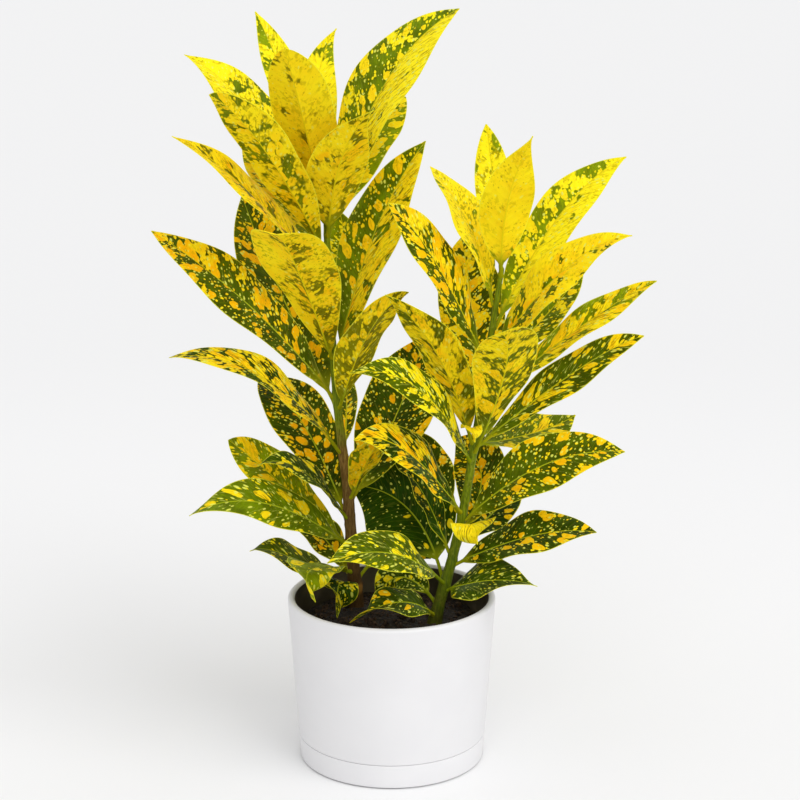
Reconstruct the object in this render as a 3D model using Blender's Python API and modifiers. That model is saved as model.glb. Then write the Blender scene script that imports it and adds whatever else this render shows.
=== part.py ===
"""Potted gold dust croton: two leafy stems in a white pot that stands in its flush saucer.

Sizes are in millimetres until a mesh is made. X runs to the right, Y to the back and Z up,
and the origin is the middle of the saucer's underside.
"""

import math

import bmesh
import bpy
import numpy as np

MM = 0.001
NAME = "potted_gold_dust_croton"

# The white pot and its saucer
POT_HEIGHT = 121.8
RIM_RADIUS = 75.0
FOOT_RADIUS = 67.0
WALL = 5.1
SEAM_HEIGHT = 18.0
SAUCER_FLOOR = 3.0
SAUCER_WALL = 2.2
POT_FLOOR = 5.0
CORNER = 1.2
INNER_CORNER = 9.0
GAP = 0.3
LEAF_GAP = 0.4
TURN_STEPS = 64

# The potting soil
SOIL_HEIGHT = 100.0
SOIL_RELIEF = 1.2
SOIL_RINGS = (12, 24, 35, 46, 56, 63)
HOLE_CLEARANCE = 1.1
HOLE_DEPTH = 18.2

# Each stem: the points of its middle line and its radius there, from the foot to the crown
TALL = "tall"
SHORT = "short"
STEMS = {
    TALL: (
        ((-26, 30, 82.3), 5.8),
        ((-26, 30, 102), 5.4),
        ((-28, 30, 130), 4.6),
        ((-33, 28, 200), 3.6),
        ((-38, 26, 245), 3.1),
        ((-42, 24, 300), 2.7),
        ((-45, 21, 370), 2.3),
        ((-46, 20, 410), 1.7),
    ),
    SHORT: (
        ((31, 0, 82.3), 5.6),
        ((31, 0, 100), 5.2),
        ((35, 0, 117), 4.4),
        ((44, 0, 150), 3.7),
        ((53, 0, 195), 3.2),
        ((61, 0, 250), 2.7),
        ((70, 0, 315), 2.3),
        ((77, 0, 362), 1.6),
    ),
}
STEM_STEP = 12.0

# Each leaf: its stem, the height where it leaves the stem, the middle and the tip of its midrib,
# the blade's width, the petiole's length, the blade's turn about its midrib in degrees,
# how fast the tip narrows, and how far its edge waves
LEAVES = (
    (TALL, 404, (-70, 70, 468), (-98, 90, 531), 34, 8, 0, 1.0, 1.5),
    (TALL, 394, (-59, -14, 464), (-70, -34, 512), 48, 8, 1, 0.66, 1.5),
    (TALL, 409, (-53, 57, 476), (-39, 70, 520), 30, 6, 2, 1.2, 1.5),
    (TALL, 384, (-6, 20, 482), (47, 36, 535), 62, 11, 36, 0.99, 2),
    (TALL, 380, (-33, -18, 440), (-11, -47, 473), 44, 8, -2, 1.55, 1),
    (TALL, 380, (-17, 56, 439), (10, 82, 471), 38, 14, 20, 0.8, 2),
    (TALL, 390, (-98, 22, 467), (-143, 30, 504), 55, 8, -26, 1.15, 2),
    (TALL, 368, (-86, -26, 447), (-120, -36, 482), 40, 8, 21, 0.75, 2),
    (TALL, 366, (-85, 50, 412), (-108, 72, 437), 35, 8, -12, 1.1, 1.5),
    (TALL, 349, (-100, -10, 417), (-146, -30, 454), 37, 5, -35, 1.12, 1.5),
    (TALL, 257, (-83, 74, 332), (-111, 100, 397), 61, 10, -8, 0.96, 2),
    (TALL, 292, (-64, -45, 371), (-75, -83, 396), 57, 5, 0, 0.49, 2),
    (TALL, 263, (-100, 18, 329.5), (-169, 26, 382), 47, 10, -40, 0.97, 2),
    (TALL, 222, (-91, -22, 289), (-152, -32, 303.5), 39, 11, -40, 0.9, 2),
    (TALL, 290, (-12.5, 26, 379), (24, 36, 444), 51, 10, 42, 1.03, 2),
    (TALL, 324, (-35, 79, 352), (-39, 104, 386), 40, 10, -10, 1.15, 2),
    (TALL, 255, (-15, -15, 319), (12, -22, 347), 38, 6, 1, 0.84, 2),
    (TALL, 172, (-66, 56, 235), (-99, 88, 262), 50, 8, -20, 0.87, 2),
    (TALL, 152, (-84, 18, 203), (-117, 14, 233), 43, 7, -42, 0.74, 2),
    (TALL, 172, (-65, -14, 219.5), (-93, -30, 226), 33, 5, -40, 1.17, 2),
    (TALL, 150, (-89, -27, 198), (-140, -42, 193.5), 37, 13, -55, 1.05, 2),
    (TALL, 125, (-52, 52, 149), (-74, 64, 166), 31, 5, -14, 0.96, 2),
    (TALL, 109, (-74, 5, 148), (-102, 0, 154), 35, 11, -27, 1.0, 2),
    (TALL, 130, (-58, -20, 146), (-53, -44, 131), 38, 5, 0, 1.07, 2),
    (TALL, 216, (-34, 88, 250), (-37, 112, 262), 17, 14, 0, 1.1, 2),
    (TALL, 184, (3, 60, 239), (24, 90, 293), 62, 7, 18, 0.9, 2),
    (TALL, 187, (-13, 4, 229), (3, -6, 244), 31, 5, 0, 0.83, 2),
    (TALL, 117, (-38, 5, 127), (-39, -16, 109), 31, 6, 0, 1.0, 1),
    (SHORT, 334, (54, 7, 388), (27, 20, 428), 43, 8, -8, 1.0, 2),
    (SHORT, 356, (74, 60, 402), (68, 76, 452), 28, 8, -4, 0.85, 1.5),
    (SHORT, 355, (79, -18, 408), (94, -38, 455), 38, 8, -5, 1.45, 1.5),
    (SHORT, 318, (119, 30, 393), (166, 44, 432), 39, 9, 26, 1.04, 2),
    (SHORT, 298, (119, -20, 363), (163, -28, 387), 45, 10, 43, 1.25, 2),
    (SHORT, 284, (113, 47, 319), (140, 64, 349), 33, 5, 10, 0.98, 1.5),
    (SHORT, 267, (143, 5, 324.7), (185, 5, 350), 29, 11, 28, 0.92, 2),
    (SHORT, 233, (131, 0, 287.7), (176, -5, 313), 33, 8, 38, 0.95, 2),
    (SHORT, 229, (77, -43, 296), (73, -80, 331), 47, 14, -4, 0.55, 2),
    (SHORT, 294, (30, -14, 367), (-2, -14, 407), 43, 9, -50, 0.89, 2),
    (SHORT, 257, (58, 60, 323), (51, 85, 368), 50, 5, -2, 0.78, 2),
    (SHORT, 235, (31.5, -26, 306), (-4, -42, 349), 41, 10, 14, 1.14, 2),
    (SHORT, 222, (18, -50, 286), (-28, -60, 299), 41, 5, -57, 1.0, 2),
    (SHORT, 243, (55.5, -28, 252.5), (57.5, -41, 246), 16, 9, 0, 1.0, 2),
    (SHORT, 184, (9, -55, 244), (-25, -74, 256), 39, 7, -60, 0.96, 2),
    (SHORT, 181, (18, 50, 212), (-3, 62, 222), 39, 13, -20, 0.98, 2),
    (SHORT, 132, (11, 38, 175), (-32, 52, 188), 74, 15, -30, 1.15, 2),
    (SHORT, 153, (24, 4, 193), (10, 0, 213), 28, 5, -20, 0.89, 1.5),
    (SHORT, 164, (66, 46, 196), (48, 69, 219), 41, 12, 0, 0.77, 2),
    (SHORT, 233, (107, 50, 229.5), (137, 75, 236), 39, 6, 22, 1.06, 2),
    (SHORT, 179, (106, -20, 223.5), (163, -22, 234), 48, 5, 49, 0.99, 2),
    (SHORT, 160, (77, 45, 171), (100, 72, 186), 29, 5, 22, 1.18, 2),
    (SHORT, 146, (100, -20, 172), (144, -28, 177), 44, 4, 30, 0.96, 2),
    (SHORT, 127, (73, -32, 143), (102, -42, 142), 46, 3, 30, 1.5, 2),
    (SHORT, 168, (57, -23, 181), (60, -40, 172), 34, 4, 0, 0.95, 2.5),
    (SHORT, 131, (0, -63, 173), (-43, -87, 174), 39, 17, -50, 0.91, 2),
    (SHORT, 107, (4, -43, 130.5), (-29, -50, 118), 31, 5, -40, 0.98, 2.5),
)

# How every blade is formed
PETIOLE_RADIUS = 1.25
PETIOLE_SHARES = (0.0, 0.55)
BLADE_SHARES = (0.0, 0.12, 0.27, 0.43, 0.6, 0.76, 0.9, 1.0)
ACROSS = (-1.0, -0.5, 0.0, 0.5, 1.0)
FOLD = math.radians(14)
CAMBER = 0.10
BLADE_THICKNESS = 0.8
MIDRIB_THICKNESS = 1.2
MIDRIB_SPREAD = 2.2
BASE_NARROWING = 1.25
BASE_FULLNESS = 0.72
TIP_HALF_WIDTH = 0.5
FLARE = 0.15
WAVES = 2.1
SIDE_LAG = 1.3
WAVE_PHASE = 2.4
ROUTE_POINTS = 201


def clear_scene():
    for obj in list(bpy.data.objects):
        bpy.data.objects.remove(obj, do_unlink=True)


def make_collection(name):
    collection = bpy.data.collections.new(name)
    bpy.context.scene.collection.children.link(collection)
    return collection


def make_material(name, colour, roughness, metallic=0.0):
    material = bpy.data.materials.new(name)
    material.use_nodes = True
    shader = material.node_tree.nodes["Principled BSDF"]
    shader.inputs["Base Color"].default_value = (*colour, 1.0)
    shader.inputs["Roughness"].default_value = roughness
    shader.inputs["Metallic"].default_value = metallic
    return material


def add_object(name, data, collection, material=None):
    obj = bpy.data.objects.new(name, data)
    collection.objects.link(obj)
    if material:
        data.materials.append(material)
    return obj


def unit(vector):
    return vector / np.linalg.norm(vector)


def arc(centre, radius, first, last, count):
    """Points of a round corner in a profile, from one angle to another in degrees."""
    angles = [math.radians(first + (last - first) * i / (count - 1)) for i in range(count)]
    return [(centre[0] + radius * math.cos(a), centre[1] + radius * math.sin(a)) for a in angles]


def outer_radius(height):
    """The pot and saucer share one straight, slightly flared outside."""
    return FOOT_RADIUS + (RIM_RADIUS - FOOT_RADIUS) * height / POT_HEIGHT


def turned(name, profile, collection, material):
    """A turned solid: the profile runs from the axis, up the inside and down the outside."""
    mesh = bpy.data.meshes.new(name)
    points = [(r * MM, 0, z * MM) for r, z in profile]
    mesh.from_pydata(points, [(i, i + 1) for i in range(len(points) - 1)], [])
    obj = add_object(name, mesh, collection, material)
    screw = obj.modifiers.new("turn", "SCREW")
    screw.steps = TURN_STEPS
    screw.render_steps = TURN_STEPS
    screw.use_merge_vertices = True
    screw.merge_threshold = 0.0001
    return obj


def applied_mesh(obj, name):
    """The object's evaluated mesh as one that can be edited, in place of its modifiers."""
    depsgraph = bpy.context.evaluated_depsgraph_get()
    mesh = bpy.data.meshes.new_from_object(obj.evaluated_get(depsgraph))
    mesh.name = name
    obj.modifiers.clear()
    obj.data = mesh
    return mesh


def make_saucer(collection, material):
    """A shallow dish whose outside runs on from the pot's."""
    inside = outer_radius(SEAM_HEIGHT) - SAUCER_WALL
    profile = [(0, SAUCER_FLOOR)]
    profile += arc((inside - CORNER, SAUCER_FLOOR + CORNER), CORNER, -90, 0, 3)
    profile += [(inside, SEAM_HEIGHT), (outer_radius(SEAM_HEIGHT), SEAM_HEIGHT)]
    profile += arc((outer_radius(CORNER) - CORNER, CORNER), CORNER, 0, -90, 4)
    profile += [(0, 0)]
    return turned("saucer", profile, collection, material)


def pot_inside(offset):
    """The profile of the pot's cavity, or of what fills it when offset inwards, from the floor up."""
    floor = SAUCER_FLOOR + GAP + POT_FLOOR + offset
    corner = INNER_CORNER - offset
    bottom = outer_radius(floor + corner) - WALL - offset
    return [(0, floor)] + arc((bottom - corner, floor + corner), corner, -90, 0, 4)


def make_pot(collection, material):
    """The pot: a plain flared wall with a rounded rim and a recessed foot inside the saucer."""
    foot = SAUCER_FLOOR + GAP
    recess = outer_radius(SEAM_HEIGHT) - SAUCER_WALL - GAP
    lip = WALL / 2
    profile = pot_inside(0)
    profile += arc((RIM_RADIUS - lip, POT_HEIGHT - lip), lip, 180, 0, 7)
    profile += [
        (outer_radius(SEAM_HEIGHT + GAP), SEAM_HEIGHT + GAP),
        (recess, SEAM_HEIGHT + GAP),
    ]
    profile += arc((recess - 2 * CORNER, foot + 2 * CORNER), 2 * CORNER, 0, -90, 3)
    profile += [(0, foot)]
    return turned("pot", profile, collection, material)


def soil_relief(x, y):
    """The low lumps of the soil's surface."""
    return SOIL_RELIEF * (math.sin(x / 7 + 1) * math.cos(y / 6) + 0.6 * math.sin(x / 4 - y / 5))


def make_soil(collection, cutters, material):
    """Soil that fills the pot to below its rim, with a plain hole for each stem."""
    wall = outer_radius(SOIL_HEIGHT) - WALL - GAP
    profile = [(0, SOIL_HEIGHT)] + [(r, SOIL_HEIGHT) for r in SOIL_RINGS] + [(wall, SOIL_HEIGHT)]
    profile += pot_inside(GAP)[::-1]
    soil = turned("soil", profile, collection, material)
    mesh = applied_mesh(soil, "soil")
    for vertex in mesh.vertices:
        if vertex.co.z > (SOIL_HEIGHT - 1) * MM:
            vertex.co.z += soil_relief(vertex.co.x / MM, vertex.co.y / MM) * MM
    for name, points in STEMS.items():
        (x, y, _), radius = points[0]
        bpy.ops.mesh.primitive_cylinder_add(
            vertices=20,
            radius=(radius + HOLE_CLEARANCE) * MM,
            depth=2 * HOLE_DEPTH * MM,
            location=(x * MM, y * MM, SOIL_HEIGHT * MM),
        )
        cutter = bpy.context.object
        cutter.name = f"{name}_stem_hole"
        cutter.hide_render = True
        cutter.display_type = "WIRE"
        for holder in cutter.users_collection:
            holder.objects.unlink(cutter)
        cutters.objects.link(cutter)
        cut = soil.modifiers.new(f"{name} stem hole", "BOOLEAN")
        cut.operation = "DIFFERENCE"
        cut.object = cutter
    return soil


def stem_at(stem, height):
    """The centre and the radius of a stem at a height, on a smooth curve through its points."""
    points = STEMS[stem]
    heights = [place[2] for place, _ in points]
    k = int(np.clip(np.searchsorted(heights, height) - 1, 0, len(points) - 2))
    (low, low_radius), (high, high_radius) = points[k], points[k + 1]
    before = np.array(points[max(k - 1, 0)][0], float)
    after = np.array(points[min(k + 2, len(points) - 1)][0], float)
    low, high = np.array(low, float), np.array(high, float)
    rise = high[2] - low[2]
    t = (height - low[2]) / rise
    slope_low = (high - before) / (high[2] - before[2]) * rise
    slope_high = (after - low) / (after[2] - low[2]) * rise
    centre = (
        (2 * t**3 - 3 * t**2 + 1) * low
        + (t**3 - 2 * t**2 + t) * slope_low
        + (3 * t**2 - 2 * t**3) * high
        + (t**3 - t**2) * slope_high
    )
    centre[2] = height
    return centre, low_radius + (high_radius - low_radius) * t


def make_stem(stem, collection, material):
    """A woody stem that thins from its foot to its crown."""
    foot, crown = STEMS[stem][0][0][2], STEMS[stem][-1][0][2]
    count = round((crown - foot) / STEM_STEP)
    curve = bpy.data.curves.new(f"{stem}_stem", "CURVE")
    curve.dimensions = "3D"
    curve.bevel_depth = MM
    curve.bevel_resolution = 3
    curve.use_fill_caps = True
    spline = curve.splines.new("POLY")
    spline.points.add(count)
    for i, point in enumerate(spline.points):
        centre, radius = stem_at(stem, foot + (crown - foot) * i / count)
        point.co = (*(centre * MM), 1)
        point.radius = radius
    return add_object(f"{stem}_stem", curve, collection, material)


def leaf_stations(leaf):
    """Places along a leaf, from its stem to its tip.

    Each is the share of the blade (None on the petiole), the midrib's point, and the directions
    across the leaf and out of its upper face. The upper face looks up and in towards the stem.
    """
    stem, height, middle, tip, _, petiole, roll, _, _ = leaf
    centre, radius = stem_at(stem, height)
    stem_way = unit(stem_at(stem, height + 1)[0] - stem_at(stem, height - 1)[0])
    middle, tip = np.array(middle, float), np.array(tip, float)
    out = middle - centre
    out[2] = 0
    out = unit(out)
    from_stem = unit(out - out.dot(stem_way) * stem_way)
    start = centre + from_stem * (radius + LEAF_GAP)
    bend = 2 * middle - (start + tip) / 2
    steps = np.linspace(0, 1, ROUTE_POINTS)
    s = steps[:, None]
    route = (1 - s) ** 2 * start + 2 * s * (1 - s) * bend + s**2 * tip
    lengths = np.concatenate([[0], np.cumsum(np.linalg.norm(np.diff(route, axis=0), axis=1))])
    blade = lengths[-1] - petiole
    facing = np.array([0, 0, 1.0]) - out
    places = [(None, share * petiole) for share in PETIOLE_SHARES]
    places += [(share, petiole + share * blade) for share in BLADE_SHARES]
    stations = []
    for share, length in places:
        s = np.interp(length, lengths, steps)
        point = (1 - s) ** 2 * start + 2 * s * (1 - s) * bend + s**2 * tip
        along = unit((1 - s) * (bend - start) + s * (tip - bend))
        up = unit(facing - facing.dot(along) * along)
        across = np.cross(along, up)
        turn = math.radians(roll) * min(1.0, length / petiole)
        turned_up = up * math.cos(turn) + across * math.sin(turn)
        turned_across = across * math.cos(turn) - up * math.sin(turn)
        stations.append((share, point, turned_across, turned_up))
    stations[0] = (None, start, np.cross(from_stem, stem_way), stem_way)
    return stations


def half_width(share, width, narrowing):
    """Half of the blade's width at a share of its length: a long oval with a drawn-out tip."""
    widest = BASE_NARROWING / (BASE_NARROWING + narrowing)
    most = widest**BASE_NARROWING * (1 - widest) ** narrowing
    here = share**BASE_NARROWING * (1 - share) ** narrowing / most
    if share < widest:
        here = here**BASE_FULLNESS
    return max(width / 2 * here, TIP_HALF_WIDTH)


def leaf_ring(leaf, station, phase):
    """The section of a leaf at a station: a round petiole that opens into a folded, waved blade."""
    width, narrowing, wave = leaf[4], leaf[7], leaf[8]
    share, point, across, up = station
    open_share = 0.0 if share is None else min(1.0, share / FLARE)
    half = PETIOLE_RADIUS * (1 - open_share)
    if share is not None:
        half = max(half, half_width(share, width, narrowing))
    top, under = [], []
    for a in ACROSS:
        lift = half * (math.sin(FOLD) * abs(a) - CAMBER * a * a) * open_share
        if open_share:
            swing = 2 * math.pi * WAVES * share + phase + (SIDE_LAG if a > 0 else 0)
            lift += wave * abs(a) ** 1.5 * math.sin(swing) * math.sin(math.pi * share)
        round_thickness = 2 * PETIOLE_RADIUS * math.sqrt(max(0.1, 1 - a * a))
        rib = MIDRIB_THICKNESS * (1 - (share or 0)) * max(0, 1 - MIDRIB_SPREAD * abs(a))
        thickness = round_thickness * (1 - open_share) + (BLADE_THICKNESS + rib) * open_share
        place = point + across * half * math.cos(FOLD * open_share) * a + up * lift
        top.append(place + up * thickness / 2)
        under.append(place - up * thickness / 2)
    return top + under[::-1]


def make_leaf(name, leaf, number, collection, material):
    """One leaf with its petiole, as a loft of sections whose two faces are split alike."""
    rings = [leaf_ring(leaf, station, WAVE_PHASE * number) for station in leaf_stations(leaf)]
    size, half = len(rings[0]), len(ACROSS)
    built = bmesh.new()
    rows = [[built.verts.new(place * MM) for place in ring] for ring in rings]
    for row, following in zip(rows, rows[1:]):
        for i in range(size):
            j = (i + 1) % size
            if i < half:
                built.faces.new((row[i], row[j], following[j]))
                built.faces.new((row[i], following[j], following[i]))
            else:
                built.faces.new((row[i], row[j], following[i]))
                built.faces.new((row[j], following[j], following[i]))
    for row in (rows[0], rows[-1]):
        for i in range(half - 1):
            built.faces.new((row[i], row[i + 1], row[size - 2 - i], row[size - 1 - i]))
    bmesh.ops.recalc_face_normals(built, faces=built.faces)
    bmesh.ops.triangulate(built, faces=[face for face in built.faces if len(face.verts) == 4])
    mesh = bpy.data.meshes.new(name)
    built.to_mesh(mesh)
    built.free()
    mesh.shade_smooth()
    return add_object(name, mesh, collection, material)


def build():
    clear_scene()
    parts = make_collection(NAME)
    cutters = make_collection("cutters")
    cutters.hide_render = True
    white = make_material("white_ceramic", (0.86, 0.86, 0.87), 0.35)
    soil = make_material("dark_soil", (0.020, 0.012, 0.008), 0.95)
    bark = make_material("stem_bark", (0.13, 0.10, 0.025), 0.6)
    make_saucer(parts, white)
    make_pot(parts, white)
    make_soil(parts, cutters, soil)
    for stem in STEMS:
        make_stem(stem, parts, bark)
    count = {stem: 0 for stem in STEMS}
    for number, leaf in enumerate(LEAVES):
        stem = leaf[0]
        count[stem] += 1
        name = f"{stem}_leaf_{count[stem]:02d}"
        material = make_material(name, (0.42, 0.38, 0.02), 0.35)
        make_leaf(name, leaf, number, parts, material)
    for obj in parts.objects:
        if obj.type == "MESH" and not obj.name.count("leaf"):
            obj.data.shade_smooth()
            obj.data.set_sharp_from_angle(angle=math.radians(40))


build()
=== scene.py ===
"""Potted gold dust croton, dressed: leaves, stems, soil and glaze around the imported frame.

Sizes are in millimetres until a mesh is made. X runs to the right, Y to the back and Z up.
"""

import math

import bpy
import numpy as np
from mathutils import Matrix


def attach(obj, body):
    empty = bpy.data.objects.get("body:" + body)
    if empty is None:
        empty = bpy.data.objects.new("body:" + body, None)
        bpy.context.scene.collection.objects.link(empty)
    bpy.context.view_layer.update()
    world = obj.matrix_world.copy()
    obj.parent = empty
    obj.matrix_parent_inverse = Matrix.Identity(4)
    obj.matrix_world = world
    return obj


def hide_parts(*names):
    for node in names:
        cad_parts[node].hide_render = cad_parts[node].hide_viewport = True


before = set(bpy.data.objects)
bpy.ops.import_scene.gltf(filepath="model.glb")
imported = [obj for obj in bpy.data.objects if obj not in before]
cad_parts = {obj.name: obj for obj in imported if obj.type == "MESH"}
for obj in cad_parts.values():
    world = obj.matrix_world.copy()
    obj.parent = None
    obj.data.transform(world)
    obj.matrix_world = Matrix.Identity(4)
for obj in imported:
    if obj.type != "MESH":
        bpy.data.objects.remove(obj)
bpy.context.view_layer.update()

MM = 0.001

# Each stem: the points of its middle line and its radius there, from the foot to the crown
TALL = "tall"
SHORT = "short"
STEMS = {
    TALL: (
        ((-26, 30, 82.3), 5.8),
        ((-26, 30, 102), 5.4),
        ((-28, 30, 130), 4.6),
        ((-33, 28, 200), 3.6),
        ((-38, 26, 245), 3.1),
        ((-42, 24, 300), 2.7),
        ((-45, 21, 370), 2.3),
        ((-46, 20, 410), 1.7),
    ),
    SHORT: (
        ((31, 0, 82.3), 5.6),
        ((31, 0, 100), 5.2),
        ((35, 0, 117), 4.4),
        ((44, 0, 150), 3.7),
        ((53, 0, 195), 3.2),
        ((61, 0, 250), 2.7),
        ((70, 0, 315), 2.3),
        ((77, 0, 362), 1.6),
    ),
}

# Greens of the leaves, as linear light
DEEP = (0.017, 0.050, 0.0005)
DARK = (0.034, 0.065, 0.0006)
FERN = (0.066, 0.100, 0.0008)
MID = (0.118, 0.172, 0.001)
LIGHT = (0.185, 0.245, 0.001)
OLIVE = (0.180, 0.170, 0.001)

# Each leaf: its stem, the height where it leaves the stem, the middle and the tip of its midrib,
# the blade's width, the petiole's length, the blade's turn about its midrib in degrees,
# how fast the tip narrows, and how far its edge waves
LEAVES = (
    (TALL, 404, (-70, 70, 468), (-98, 90, 531), 34, 8, 0, 1.0, 1.5),
    (TALL, 394, (-59, -14, 464), (-70, -34, 512), 48, 8, 1, 0.66, 1.5),
    (TALL, 409, (-53, 57, 476), (-39, 70, 520), 30, 6, 2, 1.2, 1.5),
    (TALL, 384, (-6, 20, 482), (47, 36, 535), 62, 11, 36, 0.99, 2),
    (TALL, 380, (-33, -18, 440), (-11, -47, 473), 44, 8, -2, 1.55, 1),
    (TALL, 380, (-17, 56, 439), (10, 82, 471), 38, 14, 20, 0.8, 2),
    (TALL, 390, (-98, 22, 467), (-143, 30, 504), 55, 8, -26, 1.15, 2),
    (TALL, 368, (-86, -26, 447), (-120, -36, 482), 40, 8, 21, 0.75, 2),
    (TALL, 366, (-85, 50, 412), (-108, 72, 437), 35, 8, -12, 1.1, 1.5),
    (TALL, 349, (-100, -10, 417), (-146, -30, 454), 37, 5, -35, 1.12, 1.5),
    (TALL, 257, (-83, 74, 332), (-111, 100, 397), 61, 10, -8, 0.96, 2),
    (TALL, 292, (-64, -45, 371), (-75, -83, 396), 57, 5, 0, 0.49, 2),
    (TALL, 263, (-100, 18, 329.5), (-169, 26, 382), 47, 10, -40, 0.97, 2),
    (TALL, 222, (-91, -22, 289), (-152, -32, 303.5), 39, 11, -40, 0.9, 2),
    (TALL, 290, (-12.5, 26, 379), (24, 36, 444), 51, 10, 42, 1.03, 2),
    (TALL, 324, (-35, 79, 352), (-39, 104, 386), 40, 10, -10, 1.15, 2),
    (TALL, 255, (-15, -15, 319), (12, -22, 347), 38, 6, 1, 0.84, 2),
    (TALL, 172, (-66, 56, 235), (-99, 88, 262), 50, 8, -20, 0.87, 2),
    (TALL, 152, (-84, 18, 203), (-117, 14, 233), 43, 7, -42, 0.74, 2),
    (TALL, 172, (-65, -14, 219.5), (-93, -30, 226), 33, 5, -40, 1.17, 2),
    (TALL, 150, (-89, -27, 198), (-140, -42, 193.5), 37, 13, -55, 1.05, 2),
    (TALL, 125, (-52, 52, 149), (-74, 64, 166), 31, 5, -14, 0.96, 2),
    (TALL, 109, (-74, 5, 148), (-102, 0, 154), 35, 11, -27, 1.0, 2),
    (TALL, 130, (-58, -20, 146), (-53, -44, 131), 38, 5, 0, 1.07, 2),
    (TALL, 216, (-34, 88, 250), (-37, 112, 262), 17, 14, 0, 1.1, 2),
    (TALL, 184, (3, 60, 239), (24, 90, 293), 62, 7, 18, 0.9, 2),
    (TALL, 187, (-13, 4, 229), (3, -6, 244), 31, 5, 0, 0.83, 2),
    (TALL, 117, (-38, 5, 127), (-39, -16, 109), 31, 6, 0, 1.0, 1),
    (SHORT, 334, (54, 7, 388), (27, 20, 428), 43, 8, -8, 1.0, 2),
    (SHORT, 356, (74, 60, 402), (68, 76, 452), 28, 8, -4, 0.85, 1.5),
    (SHORT, 355, (79, -18, 408), (94, -38, 455), 38, 8, -5, 1.45, 1.5),
    (SHORT, 318, (119, 30, 393), (166, 44, 432), 39, 9, 26, 1.04, 2),
    (SHORT, 298, (119, -20, 363), (163, -28, 387), 45, 10, 43, 1.25, 2),
    (SHORT, 284, (113, 47, 319), (140, 64, 349), 33, 5, 10, 0.98, 1.5),
    (SHORT, 267, (143, 5, 324.7), (185, 5, 350), 29, 11, 28, 0.92, 2),
    (SHORT, 233, (131, 0, 287.7), (176, -5, 313), 33, 8, 38, 0.95, 2),
    (SHORT, 229, (77, -43, 296), (73, -80, 331), 47, 14, -4, 0.55, 2),
    (SHORT, 294, (30, -14, 367), (-2, -14, 407), 43, 9, -50, 0.89, 2),
    (SHORT, 257, (58, 60, 323), (51, 85, 368), 50, 5, -2, 0.78, 2),
    (SHORT, 235, (31.5, -26, 306), (-4, -42, 349), 41, 10, 14, 1.14, 2),
    (SHORT, 222, (18, -50, 286), (-28, -60, 299), 41, 5, -57, 1.0, 2),
    (SHORT, 243, (55.5, -28, 252.5), (57.5, -41, 246), 16, 9, 0, 1.0, 2),
    (SHORT, 184, (9, -55, 244), (-25, -74, 256), 39, 7, -60, 0.96, 2),
    (SHORT, 181, (18, 50, 212), (-3, 62, 222), 39, 13, -20, 0.98, 2),
    (SHORT, 132, (11, 38, 175), (-32, 52, 188), 74, 15, -30, 1.15, 2),
    (SHORT, 153, (24, 4, 193), (10, 0, 213), 28, 5, -20, 0.89, 1.5),
    (SHORT, 164, (66, 46, 196), (48, 69, 219), 41, 12, 0, 0.77, 2),
    (SHORT, 233, (107, 50, 229.5), (137, 75, 236), 39, 6, 22, 1.06, 2),
    (SHORT, 179, (106, -20, 223.5), (163, -22, 234), 48, 5, 49, 0.99, 2),
    (SHORT, 160, (77, 45, 171), (100, 72, 186), 29, 5, 22, 1.18, 2),
    (SHORT, 146, (100, -20, 172), (144, -28, 177), 44, 4, 30, 0.96, 2),
    (SHORT, 127, (73, -32, 143), (102, -42, 142), 46, 3, 30, 1.5, 2),
    (SHORT, 168, (57, -23, 181), (60, -40, 172), 34, 4, 0, 0.95, 2.5),
    (SHORT, 131, (0, -63, 173), (-43, -87, 174), 39, 17, -50, 0.91, 2),
    (SHORT, 107, (4, -43, 130.5), (-29, -50, 118), 31, 5, -40, 0.98, 2.5),
)

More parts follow.
